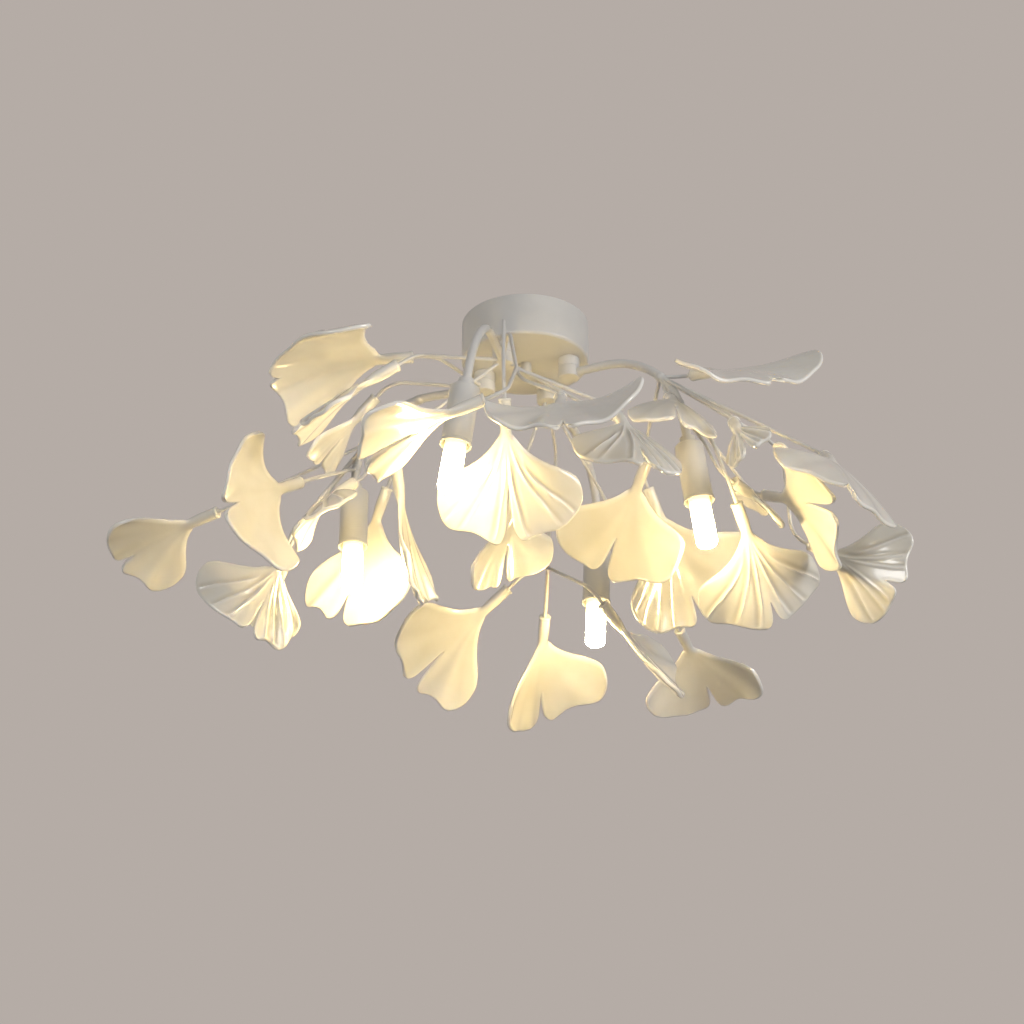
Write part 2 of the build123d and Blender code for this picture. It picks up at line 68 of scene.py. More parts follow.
def mottled(nodes, links, scale, dark, light):
    """A colour that wanders between two tones, as noise of so many cells a metre in Object coordinates."""
    place = nodes.new("ShaderNodeTexCoord")
    noise = nodes.new("ShaderNodeTexNoise")
    noise.inputs["Scale"].default_value = scale
    noise.inputs["Detail"].default_value = TONE_DETAIL
    links.new(place.outputs["Object"], noise.inputs["Vector"])
    ramp = nodes.new("ShaderNodeValToRGB")
    for element, position, colour in zip(ramp.color_ramp.elements, TONE_ENDS, (dark, light)):
        element.position = position
        element.color = colour
    links.new(noise.outputs["Fac"], ramp.inputs["Fac"])
    return ramp.outputs["Color"], noise.outputs["Fac"]


def between(nodes, links, factor, low, high):
    """A number that runs from low to high as the factor runs from 0 to 1."""
    span = nodes.new("ShaderNodeMapRange")
    span.inputs["To Min"].default_value = low
    span.inputs["To Max"].default_value = high
    links.new(factor, span.inputs["Value"])
    return span.outputs["Result"]


def grained(nodes, links, shader, scale, depth):
    """Bump from fine noise: so many cells a metre, so many metres deep."""
    place = nodes.new("ShaderNodeTexCoord")
    noise = nodes.new("ShaderNodeTexNoise")
    noise.inputs["Scale"].default_value = scale
    noise.inputs["Detail"].default_value = GRAIN_DETAIL
    links.new(place.outputs["Object"], noise.inputs["Vector"])
    bump = nodes.new("ShaderNodeBump")
    bump.inputs["Strength"].default_value = 1.0
    bump.inputs["Distance"].default_value = depth
    links.new(noise.outputs["Fac"], bump.inputs["Height"])
    links.new(bump.outputs["Normal"], shader.inputs["Normal"])


def zinc_plate():
    """Zinc plate: grey metal with the faint spangle of the bath."""
    material, nodes, links, shader = new_material("zinc_plate")
    colour, fleck = mottled(nodes, links, ZINC_CELLS, ZINC_DARK, ZINC_LIGHT)
    links.new(colour, shader.inputs["Base Color"])
    links.new(between(nodes, links, fleck, *ZINC_ROUGHNESS), shader.inputs["Roughness"])
    shader.inputs["Metallic"].default_value = 1.0
    grained(nodes, links, shader, *ZINC_GRAIN)
    return material


def dress(node, material):
    """Gives a solid's own object one material."""
    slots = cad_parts[node].data.materials
    slots.clear()
    slots.append(material)


ZINC = zinc_plate()
for node in ("ceiling_crossbar", "hub_nipples", "hub_nuts"):
    dress(node, ZINC)

# Terminal block and feed wires: a moulded block screwed under the crossbar, and single insulated wires that
# go from its clamps down into the nipples.
BLOCK_PALE = (0.72, 0.71, 0.66, 1)
BLOCK_DULL = (0.64, 0.63, 0.58, 1)
WIRE_PALE = (0.78, 0.77, 0.73, 1)
WIRE_DULL = (0.70, 0.69, 0.65, 1)
BLOCK_ROUGHNESS = (0.44, 0.56)
WIRE_ROUGHNESS = (0.36, 0.48)
PLASTIC_CELLS = 60.0
PLASTIC_GRAIN = (2500.0, 0.00002)


def plain_plastic(name, dull, pale, roughness):
    """Moulded plastic: two close tones, a fine matt grain and a dull sheen."""
    material, nodes, links, shader = new_material(name)
    colour, cloud = mottled(nodes, links, PLASTIC_CELLS, dull, pale)
    links.new(colour, shader.inputs["Base Color"])
    links.new(between(nodes, links, cloud, *roughness), shader.inputs["Roughness"])
    grained(nodes, links, shader, *PLASTIC_GRAIN)
    return material


dress("terminal_block", plain_plastic("terminal_plastic", BLOCK_DULL, BLOCK_PALE, BLOCK_ROUGHNESS))
dress("feed_wires", plain_plastic("wire_insulation", WIRE_DULL, WIRE_PALE, WIRE_ROUGHNESS))

# Canopy: a cup spun from sheet steel and sprayed white, with a rounded lower edge and a lip turned in against
# the ceiling. The knob below pulls it up.
CANOPY_R = 60.0
CANOPY_H = 42.0
CANOPY_WALL = 1.5
CANOPY_LIP = 5.0
CANOPY_EDGE_R = 3.0
ROUND_STEPS = 9
TURNED_SEGMENTS = 128
SHARP_ANGLE = radians(40)
MERGE_DISTANCE = 0.000005
SLIVER_LENGTH = 0.000001
PAINT_SHADE = (0.58, 0.575, 0.56, 1)
PAINT_WHITE = (0.64, 0.635, 0.62, 1)
PAINT_CELLS = 18.0
PAINT_ROUGHNESS = (0.30, 0.42)
PAINT_COAT = 0.15
PAINT_COAT_ROUGHNESS = 0.2
PAINT_GRAIN = (700.0, 0.00003)


def white_paint():
    """Sprayed satin paint: two close whites, a soft orange-peel bump and a clear top coat."""
    material, nodes, links, shader = new_material("white_paint")
    colour, cloud = mottled(nodes, links, PAINT_CELLS, PAINT_SHADE, PAINT_WHITE)
    links.new(colour, shader.inputs["Base Color"])
    links.new(between(nodes, links, cloud, *PAINT_ROUGHNESS), shader.inputs["Roughness"])
    shader.inputs["Coat Weight"].default_value = PAINT_COAT
    shader.inputs["Coat Roughness"].default_value = PAINT_COAT_ROUGHNESS
    grained(nodes, links, shader, *PAINT_GRAIN)
    return material


def arc(centre, radius, start, end):
    """Profile points on an arc: centre plus radius times cosine and sine of angles from start to end."""
    angle = np.radians(np.linspace(start, end, ROUND_STEPS))
    return np.stack([centre[0] + radius * np.cos(angle), centre[1] + radius * np.sin(angle)], axis=1)


def profile_of(*parts):
    """One profile from single points and arcs, in order."""
    return np.concatenate([np.atleast_2d(np.asarray(part, float)) for part in parts])


def square_axes(axis):
    """Two unit vectors square to an axis and to each other."""
    axis = np.asarray(axis, float) / np.linalg.norm(axis)
    helper = np.array([0.0, 1.0, 0.0]) if abs(axis[1]) < 0.9 else np.array([1.0, 0.0, 0.0])
    first = np.cross(helper, axis)
    first /= np.linalg.norm(first)
    return axis, first, np.cross(axis, first)


def turned(profile, origin, axis, segments=TURNED_SEGMENTS):
    """A turned surface: origin + height along the axis + radius along a spoke, closed round.

    The spoke is the cosine of its angle times the first side axis plus the sine times the second.
    """
    axis, first, second = square_axes(axis)
    angle = np.linspace(0, 2 * pi, segments, endpoint=False)
    spoke = np.cos(angle)[:, None] * first + np.sin(angle)[:, None] * second
    rings = profile[:, 0, None, None] * spoke + profile[:, 1, None, None] * axis
    return np.asarray(origin, float) + rings


def net_faces(rows, columns, round_columns, round_rows=False, start=0):
    """Quads of a grid of points, closed along its columns or rows where asked."""
    row = np.arange(rows if round_rows else rows - 1)[:, None]
    column = np.arange(columns if round_columns else columns - 1)[None, :]
    below = (row + 1) % rows
    beside = (column + 1) % columns
    here = row * columns
    next_row = below * columns
    corners = [here + column, here + beside, next_row + beside, next_row + column]
    shape = (row.size, column.size)
    return start + np.stack([np.broadcast_to(corner, shape) for corner in corners], axis=-1).reshape(-1, 4)


def make_piece(name, points, faces, material, body, stands_for, shade=None):
    """Puts points in millimetres and quads into one closed mesh, and says what it rides on and stands for."""
    mesh = bpy.data.meshes.new(name)
    mesh.from_pydata(points * MM, [], faces)
    # The shade attribute carries painted light on the leaves and the share of the glow on the capsules.
    if shade is not None:
        layer = mesh.attributes.new("shade", "FLOAT", "POINT")
        layer.data.foreach_set("value", shade.astype(np.float32))
    shape = bmesh.new()
    shape.from_mesh(mesh)
    bmesh.ops.remove_doubles(shape, verts=shape.verts, dist=MERGE_DISTANCE)
    bmesh.ops.dissolve_degenerate(shape, edges=shape.edges, dist=SLIVER_LENGTH)
    bmesh.ops.recalc_face_normals(shape, faces=shape.faces)
    shape.to_mesh(mesh)
    shape.free()
    mesh.shade_smooth()
    mesh.set_sharp_from_angle(angle=SHARP_ANGLE)
    mesh.materials.append(material)
    piece = bpy.data.objects.new(name, mesh)
    bpy.context.scene.collection.objects.link(piece)
    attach(piece, body)
    if stands_for:
        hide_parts(stands_for)


def turned_piece(name, profile, origin, axis, material, body, slot, stands_for, loop=False):
    """A turned piece from one profile; a loop profile is a hollow ring, an open one ends on the axis."""
    rings = turned(profile, origin, axis)
    faces = net_faces(len(profile), TURNED_SEGMENTS, True, round_rows=loop)
    make_piece(name, rings.reshape(-1, 3), faces, material, body, stands_for)


PAINT = white_paint()
INNER_R = CANOPY_R - CANOPY_WALL
canopy_profile = profile_of(
    (0, -CANOPY_H),
    arc((CANOPY_R - CANOPY_EDGE_R, CANOPY_EDGE_R - CANOPY_H), CANOPY_EDGE_R, -90, 0),
    arc((CANOPY_R - CANOPY_WALL / 2, -CANOPY_WALL / 2), CANOPY_WALL / 2, 0, 90),
    arc((CANOPY_R - CANOPY_LIP + CANOPY_WALL / 2, -CANOPY_WALL / 2), CANOPY_WALL / 2, 90, 270),
    (INNER_R, -CANOPY_WALL),
    (INNER_R, CANOPY_WALL - CANOPY_H),
    (0, CANOPY_WALL - CANOPY_H),
)
UPRIGHT = ((0, 0, 0), (0, 0, 1))
turned_piece("canopy_cup", canopy_profile, *UPRIGHT, PAINT, "ceiling_body", "white_paint", "canopy")

# Knob: turned and painted with the canopy, its hidden shank screwed into the crossbar's boss. It has a
# rounded face and a fine groove where it meets the canopy.
KNOB_R = 6.0
KNOB_H = 10.0
KNOB_FACE_R = 2.0
KNOB_GROOVE = 0.6
SHANK_R = 3.0
knob_profile = profile_of(
    (0, -CANOPY_H - KNOB_H),
    arc((KNOB_R - KNOB_FACE_R, KNOB_FACE_R - CANOPY_H - KNOB_H), KNOB_FACE_R, -90, 0),
    arc((KNOB_R, -CANOPY_H - 2 * KNOB_GROOVE), KNOB_GROOVE, -90, -270),
    (KNOB_R, -CANOPY_H),
    (SHANK_R, -CANOPY_H),
    (SHANK_R, -CANOPY_WALL),
    (0, -CANOPY_WALL),
)
turned_piece("turned_knob", knob_profile, *UPRIGHT, PAINT, "ceiling_body", "white_paint", "canopy_knob")

# Hubs: four turned and painted sleeves on a ring under the canopy. Each turns on its nipple and is closed
# from below by the root disc of its stems.
HUB_RING_R = 42.0
HUB_R = 10.0
HUB_H = 10.0
HUB_SHOULDER = 3.5
HUB_EDGE_R = 0.8
CAVITY_R = 7.3
NIPPLE_HOLE_R = 5.3


class Branch(NamedTuple):
    """Where a branch's hub sits on the ring, its lamp's mouth and lean, and the drop of its tube's run."""

    azimuth: float
    lamp_mouth: tuple
    lamp_lean: float
    tube_drop: float = 0.0


BRANCHES = {
    "front": Branch(-120, (-61, -163, -215), 8, 20),
    "right": Branch(-14, (155, -56, -215), -8),
    "back": Branch(60, (69, 163, -215), 2),
    "left": Branch(156, (-161, 56, -206), 0),
}


def hub_centre(branch, height):
    """The point at a height on a branch's hub axis."""
    turn = radians(branch.azimuth)
    return np.array([HUB_RING_R * cos(turn), HUB_RING_R * sin(turn), height])


hub_profile = profile_of(
    (CAVITY_R, 0),
    arc((HUB_R - HUB_EDGE_R, HUB_EDGE_R), HUB_EDGE_R, -90, 0),
    arc((HUB_R - HUB_EDGE_R, HUB_H - HUB_EDGE_R), HUB_EDGE_R, 0, 90),
    (NIPPLE_HOLE_R, HUB_H),
    (NIPPLE_HOLE_R, HUB_H - HUB_SHOULDER),
    (CAVITY_R, HUB_H - HUB_SHOULDER),
)
for name, branch in BRANCHES.items():
    foot = hub_centre(branch, -CANOPY_H - HUB_H)
    piece = f"{name}_hub_sleeve"
    body = f"branch_{name}"
    turned_piece(piece, hub_profile, foot, (0, 0, 1), PAINT, body, "white_paint", f"hub_{name}", loop=True)

# Leaves' places: each leaf is slipped on a rod end and cemented. Millimetres: its socket mouth, where its fan
# points, where its ridged side faces, its size, half angles, curl and arch, and where its rod comes from.
NOTCH_START = 74.0


class Leaf(NamedTuple):
    """A leaf's place and form, where its rod starts, the rod's knees, and where the notch starts."""

    base: tuple
    aim: tuple
    face: tuple
    size: float
    spread: tuple
    curl: tuple
    arch: float
    tube_share: float = 0.0
    braze: tuple = ()
    knees: tuple = ()
    notch: float = NOTCH_START


LEAVES = {
    "front": [
        Leaf((-113, -150, -128), (-87, -17, -68), (-0.6, -0.3, 0.7), 0.90, (37, 37), (28, 25), 5),
        Leaf(
            (-35, -215, -198), (-105, 20, -38), (-0.38, 0.15, 0.9), 0.95, (45, 24), (15, 10), 15,
            braze=(-8.6, -132.6, -121.2),
        ),
        Leaf((-117, -60, -178), (16, 50, -110), (-0.95, 0.3, 0.05), 1.05, (37, 18), (40, 30), 10),
        Leaf(
            (-19, -154, -163), (6, 70, -115), (0.0, -0.85, -0.5), 1.02, (44, 44), (30, 30), 8,
            knees=((-20, -121, -60),),
        ),
        Leaf(
            (29, -175, -174), (0, -100, -78), (-0.1, -0.6, 0.8), 1.05, (48, 42), (-32, -25), 5,
            knees=((-15, -110, -68), (-7, -138, -134)),
            notch=112,
        ),
        Leaf(
            (76, -150, -175), (28, -55, -70), (0.3, -0.69, 0.66), 0.78, (36, 52), (30, 30), 15,
            braze=(-8.6, -132.6, -121.2),
            notch=90,
        ),
        Leaf(
            (112, -15, -152), (-42, 80, -80), (0.15, 0.7, 0.65), 0.93, (42, 58), (40, 50), 10,
            notch=88,
        ),
    ],
    "right": [
        Leaf(
            (117, 75, -134), (45, 50, -100), (0.05, 0.9, 0.4), 1.12, (34, 48), (30, 30), 10, 0.55,
            notch=102,
        ),
        Leaf(
            (190, -35, -205), (42, 77, -87), (0.05, -0.85, -0.5), 1.00, (38, 44), (50, 40), 10,
            tube_share=0.75,
            knees=((168, -55, -150),),
            notch=104,
        ),
        Leaf((223, 35, -162), (58, -88, -56), (0.86, 0.19, 0.47), 1.00, (42, 48), (10, 35), 10, 0.55),
        Leaf(
            (271, -40, -160), (14, -90, -70), (0.52, -0.47, 0.71), 0.95, (48, 48), (25, 25), 15, 0.55,
            notch=114,
        ),
        Leaf(
            (263, 38, -212), (80, -36, -63), (-0.65, -0.75, -0.15), 0.80, (46, 38), (35, 35), 10,
            tube_share=0.55,
            knees=((240, 20, -120),),
            notch=110,
        ),
        Leaf((130, -68, -115), (6, -70, -50), (0.24, -0.55, 0.8), 0.70, (42, 42), (40, 40), 20, 0.55),
        Leaf((182, -127, -172), (4, -44, -46), (-0.6, -0.7, 0.35), 0.50, (32, 32), (45, 45), 20, 0.55),
        Leaf(
            (153, -60, -87), (62, -100, -45), (-0.08, -0.45, 0.88), 1.05, (48, 48), (-20, -20), 18, 0.55,
            notch=116,
        ),
        Leaf(
            (189, -27, -180), (45, 49, -9), (0.55, -0.37, 0.74), 0.51, (48, 48), (20, 20), 10,
            tube_share=0.82,
            knees=((163, -46, -150),),
        ),
    ],
    "back": [
        Leaf((-9, 60, -146), (-17, 86, -53), (-0.6, 0.3, 0.7), 0.82, (44, 44), (30, 30), 10),
        Leaf(
            (-16, 190, -186), (-95, 31, -83), (-0.4, 0.65, 0.65), 1.08, (48, 33), (40, 40), 10,
            braze=(23.3, 163.2, -155),
            notch=84,
        ),
        Leaf(
            (20, 215, -205), (-8, 102, -63), (-0.65, 0.4, 0.65), 1.00, (40, 50), (40, 60), 10,
            knees=((31, 110, -79), (24, 150, -140)),
            notch=92,
        ),
        Leaf(
            (74, 130, -230), (66, 64, -66), (-0.8, 0.4, -0.45), 0.95, (44, 44), (25, 15), 10,
            braze=(22.5, 176.4, -170),
        ),
        Leaf(
            (154, 235, -211), (43, 107, -34), (0.0, 0.3, 0.95), 0.93, (48, 48), (40, 40), 10,
            notch=95,
        ),
    ],
    "left": [
        Leaf(
            (-103, -60, -68), (-125, -5, -15), (-0.1, 0.35, 0.95), 1.05, (70, 38), (45, 40), 15,
            notch=124,
        ),
        Leaf((-139, -9, -82), (-60, 29, -58), (-0.55, 0.31, 0.73), 0.70, (28, 18), (35, 35), 10),
        Leaf(
            (-205, -30, -182), (-66, -78, -66), (-0.76, 0.62, 0.18), 0.95, (46, 56), (50, 35), 10, 0.86,
            notch=104,
        ),
        Leaf(
            (-287, 40, -177), (-97, 44, -22), (-0.2, 0.4, 0.9), 0.88, (40, 40), (40, 8), 20, 0.72,
            notch=108,
        ),
        Leaf(
            (-222, 40, -214), (-28, -30, -107), (0.55, -0.75, 0.35), 0.82, (36, 58), (55, 35), 10, 0.72,
            notch=85,
        ),
        Leaf((-225, 78, -206), (-28, 88, -40), (0.25, 0.45, 0.85), 0.72, (44, 30), (30, 30), 10, 0.72),
        Leaf((-159, 10, -162), (-61, -52, -72), (-0.6, -0.25, 0.75), 0.70, (48, 48), (40, 40), 10, 0.72),
        Leaf(
            (-132, 90, -126), (-44, 50, -115), (0.5, 0.85, 0.25), 1.10, (26, 54), (35, 35), 5, 0.35,
            notch=100,
        ),
    ],
}

# Stems: round rods and one hollow tube for each lamp, bent cold, brazed to a root disc under the hub or to
# the tube itself, and painted with the rest.
ROOT_H = 11.0
ROOT_EDGE_R = 1.6
ROOT_SEGMENTS = 60
TUBE_R = 4.0
TUBE_BEND = 78.0
ROD_R = 1.7
ROD_BEND = 30.0
ROD_LEAD = 20.0
ROD_DEPTH = 14.5
RUN_SHARE = 0.45
BEND_STEPS = 14
TUBE_SEGMENTS = 20
BEAD_R = 4.8
BEAD_L = 5.5
HOLDER_L = 58.0
HOLDER_CAP = 3.0


def bent_path(corners, largest, share=RUN_SHARE):
    """Points of straight runs joined by tangent arcs.

    Each arc is as large as asked, or as fits in a share of the shorter of its runs. A share of 0 sets no
    limit.
    """
    corners = np.asarray(corners, float)
    path = [corners[:1]]
    for before, corner, after in zip(corners, corners[1:], corners[2:]):
        arriving = corner - before
        leaving = after - corner
        room = share * min(np.linalg.norm(arriving), np.linalg.norm(leaving))
        arriving = arriving / np.linalg.norm(arriving)
        leaving = leaving / np.linalg.norm(leaving)
        turn = np.arccos(np.clip(arriving @ leaving, -1, 1))
        radius = min(largest, room / tan(turn / 2)) if share else largest
        inward = leaving - arriving * (arriving @ leaving)
        inward /= np.linalg.norm(inward)
        centre = corner - arriving * radius * tan(turn / 2) + inward * radius
        angle = np.linspace(0, turn, BEND_STEPS)[:, None]
        path.append(centre - inward * radius * np.cos(angle) + arriving * radius * np.sin(angle))
    path.append(corners[-1:])
    return np.concatenate(path)


def tube_net(path, radius):
    """A round tube: each path point plus radius times (cosine side + sine up), closed at both ends."""
    along = np.gradient(path, axis=0)
    along /= np.linalg.norm(along, axis=1)[:, None]
    steady = np.eye(3)[np.abs(along).max(0).argmin()]
    side = np.cross(along, steady)
    side /= np.linalg.norm(side, axis=1)[:, None]
    up = np.cross(along, side)
    angle = np.linspace(0, 2 * pi, TUBE_SEGMENTS, endpoint=False)
    ring = np.cos(angle)[None, :, None] * side[:, None] + np.sin(angle)[None, :, None] * up[:, None]
    wall = path[:, None] + radius * ring
    ends = [np.repeat(path[end][None, None], TUBE_SEGMENTS, axis=1) for end in (0, -1)]
    return np.concatenate([ends[0], wall, ends[1]])


def at_share(path, share):
    """The point at a share of a path's length, and the way the path runs there."""
    reach = np.concatenate([[0], np.cumsum(np.linalg.norm(np.diff(path, axis=0), axis=1))])
    step = min(np.searchsorted(reach, share * reach[-1], side="right"), len(path) - 1)
    point = np.array([np.interp(share * reach[-1], reach, path[:, axis]) for axis in range(3)])
    return point, path[step] - path[step - 1]


def lamp_axis(branch):
    """The unit vector up a lamp's axis."""
    lean = radians(branch.lamp_lean)
    return np.array([sin(lean), 0, cos(lean)])


def rod_corners(leaf, start):
    """A leaf rod's corners: from its start, over any knees, and straight into the leaf's socket."""
    base = np.array(leaf.base, float)
    along = np.array(leaf.aim, float)
    along /= np.linalg.norm(along)
    lead = base - along * ROD_LEAD
    end = base + along * ROD_DEPTH
    return [start, *np.array(leaf.knees, float).reshape(-1, 3), lead, end]


def joined(nets):
    """Points and quads of several grids that are closed along their columns, as one list of each."""
    points = []
    faces = []
    count = 0
    for net in nets:
        points.append(net.reshape(-1, 3))
        faces.append(net_faces(net.shape[0], net.shape[1], True, start=count))
        count += net.shape[0] * net.shape[1]
    return np.concatenate(points), np.concatenate(faces)


root_profile = profile_of(
    (0, -ROOT_H),
    arc((HUB_R - ROOT_EDGE_R, ROOT_EDGE_R - ROOT_H), ROOT_EDGE_R, -90, 0),
    arc((HUB_R - HUB_EDGE_R, -HUB_EDGE_R), HUB_EDGE_R, 0, 90),
    (0, 0),
)
bead_angle = np.radians(np.linspace(-90, 90, ROUND_STEPS))
bead_profile = np.stack([BEAD_R * np.cos(bead_angle), BEAD_L * np.sin(bead_angle)], axis=1)
for name, branch in BRANCHES.items():
    up = lamp_axis(branch)
    disc = hub_centre(branch, -CANOPY_H - HUB_H)
    root = disc - np.array([0, 0, ROOT_H / 2])
    tube_end = np.array(branch.lamp_mouth, float) + up * (HOLDER_L - HOLDER_CAP / 2)
    tube_corner = tube_end + up * (root[2] - branch.tube_drop - tube_end[2]) / up[2]
    tube_path = bent_path([root, tube_corner, tube_end], TUBE_BEND, share=0)
    nets = [turned(root_profile, disc, (0, 0, 1), ROOT_SEGMENTS), tube_net(tube_path, TUBE_R)]
    for leaf in LEAVES[name]:
        start, heading = at_share(tube_path, leaf.tube_share)
        if leaf.braze:
            start = np.array(leaf.braze, float)
        nets.append(tube_net(bent_path(rod_corners(leaf, start), ROD_BEND), ROD_R))
        if leaf.tube_share:
            nets.append(turned(bead_profile, start, heading, TUBE_SEGMENTS))
    points, faces = joined(nets)
    make_piece(f"{name}_rods", points, faces, PAINT, f"branch_{name}", f"stems_{name}")

# Lamp holders: a painted sleeve with a rolled lip at its mouth and a neck for the tube, and in it a pressed
# ceramic core with two plated contact clips.
HOLDER_R = 13.2
HOLDER_LIP_R = 14.0
HOLDER_BORE_R = 12.2
HOLDER_EDGE_R = 2.5
LIP_H = 3.2
LIP_ROUND_R = 0.8
LIP_TOP = 2.24
LIP_FOOT = 4.16
BORE_START = 1.0
NECK_R = 7.0
NECK_H = 8.0
NECK_EDGE_R = 0.8
NECK_BORE_R = 4.1
SLEEVE_INSIDE = 55.0
CORE_SETBACK = 8.0
CLIP_OFFSET = 10.0
CLIP_W = 5.0
CLIP_T = 0.5
CLIP_OUT = 5.0
CLIP_SEAT = 1.0
CLIP_BOW = 1.2
CLIP_STEPS = 12
# The core's and clips' tones are painted darker than the parts are, as the shade inside the holder mouth.
CERAMIC_SHADED_DULL = (0.40, 0.35, 0.28, 1)
CERAMIC_SHADED_PALE = (0.50, 0.45, 0.37, 1)
CERAMIC_CELLS = 150.0
CERAMIC_ROUGHNESS = (0.6, 0.75)
CERAMIC_GRAIN = (3000.0, 0.00004)
CLIP_SHADED_DARK = (0.20, 0.18, 0.16, 1)
CLIP_SHADED_LIGHT = (0.42, 0.40, 0.37, 1)
CLIP_CELLS = 400.0
CLIP_ROUGHNESS = (0.25, 0.45)


def shaded_pressed_ceramic():
    """Unglazed pressed ceramic, matt and faintly grainy, its cream painted dark tan as the shade deep in the
    holder.
    """
    material, nodes, links, shader = new_material("shaded_pressed_ceramic")
    colour, cloud = mottled(nodes, links, CERAMIC_CELLS, CERAMIC_SHADED_DULL, CERAMIC_SHADED_PALE)
    links.new(colour, shader.inputs["Base Color"])
    links.new(between(nodes, links, cloud, *CERAMIC_ROUGHNESS), shader.inputs["Roughness"])
    grained(nodes, links, shader, *CERAMIC_GRAIN)
    return material


def shaded_clip_plate():
    """Plated spring strip: rolled, slightly tarnished, and painted darker as the shade deep in the holder."""
    material, nodes, links, shader = new_material("shaded_clip_plate")
    colour, tarnish = mottled(nodes, links, CLIP_CELLS, CLIP_SHADED_DARK, CLIP_SHADED_LIGHT)
    links.new(colour, shader.inputs["Base Color"])
    links.new(between(nodes, links, tarnish, *CLIP_ROUGHNESS), shader.inputs["Roughness"])
    shader.inputs["Metallic"].default_value = 1.0
    return material


def clip_net(mouth, up, turn):
    """A bent strip of thin rectangular section, whose middle line bows outwards as it leaves the core."""
    axis, first, second = square_axes(up)
    outward = cos(turn) * first + sin(turn) * second
    across = np.cross(axis, outward)
    share = np.linspace(0, 1, CLIP_STEPS)[:, None]
    line = mouth + axis * (CORE_SETBACK + CLIP_SEAT - (CLIP_OUT + CLIP_SEAT) * share)
    line = line + outward * (CLIP_OFFSET - CLIP_BOW * np.sin(pi * share))
    corners = [(-CLIP_W, -CLIP_T), (CLIP_W, -CLIP_T), (CLIP_W, CLIP_T), (-CLIP_W, CLIP_T)]
    wall = np.stack([line + across * wide / 2 + outward * deep / 2 for wide, deep in corners], axis=1)
    ends = [np.repeat(line[end][None, None], len(corners), axis=1) for end in (0, -1)]
    return np.concatenate([ends[0], wall, ends[1]])


CERAMIC = shaded_pressed_ceramic()
CLIP_METAL = shaded_clip_plate()
holder_profile = profile_of(
    (HOLDER_BORE_R, LIP_H),
    (HOLDER_BORE_R, BORE_START),
    arc((HOLDER_LIP_R - LIP_ROUND_R, LIP_ROUND_R), LIP_ROUND_R, -120, 0),
    arc((HOLDER_LIP_R - LIP_ROUND_R, LIP_TOP), LIP_ROUND_R, 0, 60),
    (HOLDER_R, LIP_FOOT),
    arc((HOLDER_R - HOLDER_EDGE_R, HOLDER_L - HOLDER_EDGE_R), HOLDER_EDGE_R, 0, 90),
    (NECK_R, HOLDER_L),
    arc((NECK_R - NECK_EDGE_R, HOLDER_L + NECK_H - NECK_EDGE_R), NECK_EDGE_R, 0, 90),
    (NECK_BORE_R, HOLDER_L + NECK_H),
    (NECK_BORE_R, SLEEVE_INSIDE),
    (HOLDER_BORE_R, SLEEVE_INSIDE),
)
for name, branch in BRANCHES.items():
    mouth = np.array(branch.lamp_mouth, float)
    up = lamp_axis(branch)
    body = f"branch_{name}"
    piece = f"{name}_lamp_sleeve"
    holder = f"lamp_holder_{name}"
    turned_piece(piece, holder_profile, mouth, up, PAINT, body, "white_paint", holder, loop=True)
    points, faces = joined([clip_net(mouth, up, turn) for turn in (0, pi)])
    make_piece(f"{name}_lamp_clips", points, faces, CLIP_METAL, body, None)
    dress(f"lamp_insert_{name}", CERAMIC)
    dress(f"lamp_base_{name}", CERAMIC)

# Capsule lamps: a frosted glass body lit from inside, pushed into the holder by the two flat pins of its
# foot. Each pulls straight out.
BULB_R = 9.5
BULB_TOP = 7.6
BULB_L = 52.0
BULB_END_R = 5.0
BULB_SHOULDER_R = 1.5
LAMP_GLOW = (1.0, 0.74, 0.32, 1)
LAMP_STRENGTH = 185.0
GLOW_START = 1.2
GLOW_RISE = 32.0
GLOW_STEPS = 24
FROST_WHITE = (0.95, 0.92, 0.86, 1)
FROST_SHADE = (0.90, 0.86, 0.78, 1)
FROST_CELLS = 90.0
FROST_ROUGHNESS = (0.45, 0.6)
FROST_GRAIN = (2000.0, 0.00003)


def lit_glass():
    """Frosted glass lit from within: a soft grain outside, and a glow that rises away from the holder."""
    material, nodes, links, shader = new_material("lit_frosted_glass")
    colour, cloud = mottled(nodes, links, FROST_CELLS, FROST_SHADE, FROST_WHITE)
    links.new(colour, shader.inputs["Base Color"])
    links.new(between(nodes, links, cloud, *FROST_ROUGHNESS), shader.inputs["Roughness"])
    shader.inputs["Emission Color"].default_value = LAMP_GLOW
    glow = nodes.new("ShaderNodeAttribute")
    glow.attribute_name = "shade"
    strength = between(nodes, links, glow.outputs["Fac"], GLOW_START, LAMP_STRENGTH)
    links.new(strength, shader.inputs["Emission Strength"])
    grained(nodes, links, shader, *FROST_GRAIN)
    return material


LIT_GLASS = lit_glass()
bulb_side = np.linspace(BULB_TOP - BULB_L + BULB_END_R, BULB_TOP - BULB_SHOULDER_R, GLOW_STEPS)
bulb_profile = profile_of(
    (0, BULB_TOP - BULB_L),
    arc((BULB_R - BULB_END_R, BULB_TOP - BULB_L + BULB_END_R), BULB_END_R, -90, 0),
    np.stack([np.full(GLOW_STEPS, BULB_R), bulb_side], axis=1)[1:-1],
    arc((BULB_R - BULB_SHOULDER_R, BULB_TOP - BULB_SHOULDER_R), BULB_SHOULDER_R, 0, 90),
    (0, BULB_TOP),
)
bulb_glow = np.repeat(np.clip(-bulb_profile[:, 1] / GLOW_RISE, 0, 1) ** 2, TURNED_SEGMENTS)
bulb_faces = net_faces(len(bulb_profile), TURNED_SEGMENTS, True)
for name, branch in BRANCHES.items():
    rings = turned(bulb_profile, branch.lamp_mouth, lamp_axis(branch)).reshape(-1, 3)
    lamp = f"lamp_{name}"
    piece = f"{name}_capsule"
    make_piece(piece, rings, bulb_faces, LIT_GLASS, lamp, f"bulb_{name}", shade=bulb_glow)

